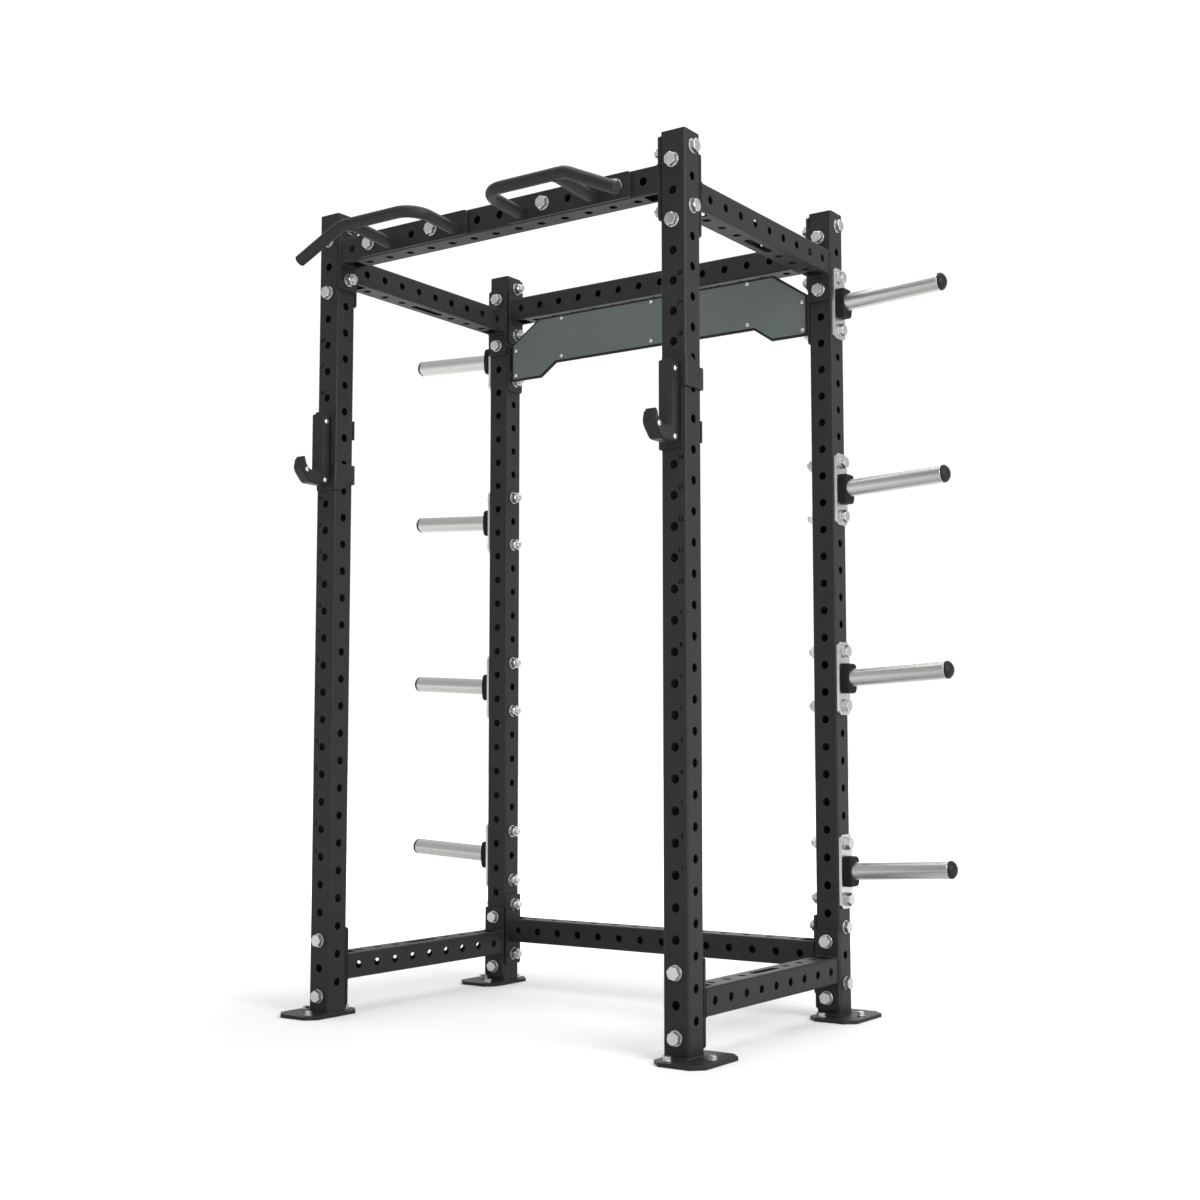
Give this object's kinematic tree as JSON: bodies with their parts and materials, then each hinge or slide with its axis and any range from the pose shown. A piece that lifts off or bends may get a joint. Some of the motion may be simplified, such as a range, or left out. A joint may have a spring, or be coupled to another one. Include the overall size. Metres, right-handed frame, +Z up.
{
  "type": "power cage",
  "caption": "Free-standing square-tube lifting cage with bar cups, angled pull-up grips, rear plate pegs and a sign panel; it holds a loaded barbell around the lifter.",
  "frame": {"origin": "on the floor below the middle of the overall bounding box", "axes": "+Z up; -Y is the open front, where the lifter walks in; +X is the right-hand side seen from the front"},
  "size_m": [1.866, 1.088, 2.233],
  "materials": {
    "frame_paint": "satin black powder coat with a fine texture",
    "zinc": "bright zinc plating",
    "peg_steel": "satin plated tube",
    "rubber": "moulded black rubber",
    "black_plastic": "moulded black plastic",
    "liner_plastic": "machined black polyethylene",
    "sign_paint": "satin grey-green panel",
    "cup_paint": "satin black powder coat"
  },
  "bodies": {
    "frame": {"upright_front_left": "frame_paint", "upright_front_right": "frame_paint", "upright_rear_left": "frame_paint", "upright_rear_right": "frame_paint", "foot_plate_front_left": "frame_paint", "foot_plate_front_right": "frame_paint", "foot_plate_rear_left": "frame_paint", "foot_plate_rear_right": "frame_paint", "top_front_beam": "frame_paint", "top_rear_beam": "frame_paint", "bottom_rear_beam": "frame_paint", "top_front_end_plates": "frame_paint", "top_rear_end_plates": "frame_paint", "bottom_rear_end_plates": "frame_paint", "top_left_side_beam": "frame_paint", "top_right_side_beam": "frame_paint", "bottom_left_side_beam": "frame_paint", "bottom_right_side_beam": "frame_paint", "top_left_side_end_plates": "frame_paint", "top_right_side_end_plates": "frame_paint", "bottom_left_side_end_plates": "frame_paint", "bottom_right_side_end_plates": "frame_paint", "grip_plate_left": "frame_paint", "grip_plate_right": "frame_paint", "grip_bar_left": "frame_paint", "grip_bar_right": "frame_paint", "grip_strut_left": "frame_paint", "grip_strut_right": "frame_paint", "upright_caps": "black_plastic", "peg_end_caps_left": "black_plastic", "peg_end_caps_right": "black_plastic", "sign_face": "sign_paint", "sign_backing": "frame_paint", "sign_brackets": "frame_paint", "sign_screws": "zinc", "frame_bolts": "zinc", "frame_nuts": "zinc", "frame_washers": "zinc", "grip_bolts": "zinc", "anchor_bolts": "zinc", "peg_plates_left": "zinc", "peg_plates_right": "zinc", "peg_tubes_left": "peg_steel", "peg_tubes_right": "peg_steel", "peg_bumpers_left": "rubber", "peg_bumpers_right": "rubber"},
    "jcup_left": {"jcup_bracket_left": "cup_paint", "jcup_pin_left": "zinc", "jcup_inner_cheek_left": "cup_paint", "jcup_outer_cheek_left": "cup_paint", "jcup_liner_left": "liner_plastic", "jcup_screws_left": "zinc"},
    "jcup_right": {"jcup_bracket_right": "cup_paint", "jcup_pin_right": "zinc", "jcup_inner_cheek_right": "cup_paint", "jcup_outer_cheek_right": "cup_paint", "jcup_liner_right": "liner_plastic", "jcup_screws_right": "zinc"}
  },
  "joints": [
    {"name": "jcup_left_twist", "type": "hinge", "parent": "frame", "child": "jcup_left", "pos_m": [-0.574, -0.363, 1.556], "axis": [0, -1, 0], "range_deg": [0, 90]},
    {"name": "jcup_right_twist", "type": "hinge", "parent": "frame", "child": "jcup_right", "pos_m": [0.574, -0.363, 1.556], "axis": [0, 1, 0], "range_deg": [0, 90]}
  ]
}
